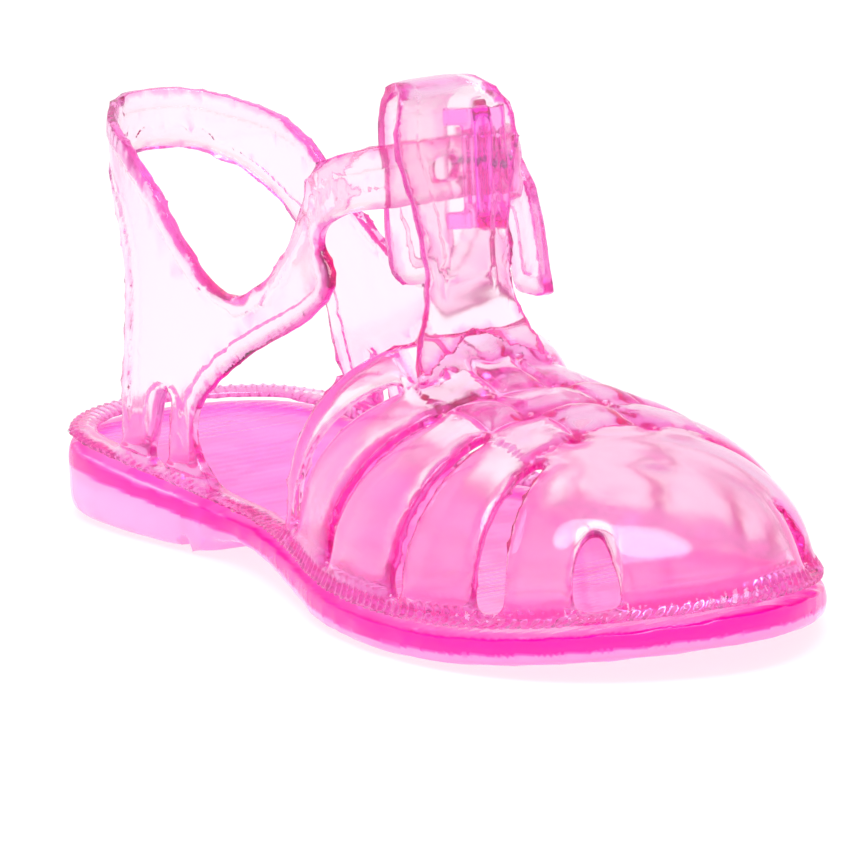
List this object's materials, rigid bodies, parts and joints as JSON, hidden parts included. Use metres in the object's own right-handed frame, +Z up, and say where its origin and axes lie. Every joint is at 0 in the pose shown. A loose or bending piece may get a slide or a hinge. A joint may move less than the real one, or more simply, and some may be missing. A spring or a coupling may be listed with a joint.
{
  "type": "water shoe",
  "caption": "Child's clear pink moulded water sandal for the left foot: caged toe with a woven ridge, T bar, ankle strap with a side buckle, and a heeled sole with star lugs.",
  "frame": {"origin": "middle of the shoe's length and width, on the floor under the sole", "axes": "+X towards the toe, +Y towards the outer side of the left foot, +Z up"},
  "size_m": [0.15, 0.062, 0.0671],
  "materials": {
    "sole_pink": "clear pink moulded PVC, glossy",
    "upper_pink": "clear pale pink moulded PVC, glossy",
    "buckle_pink": "clear pink moulded plastic, glossy",
    "prong_steel": "bright steel wire"
  },
  "bodies": {
    "root": {"sole": "sole_pink", "upper": "upper_pink", "buckle_frame": "buckle_pink", "buckle_prong": "prong_steel"}
  },
  "joints": []
}
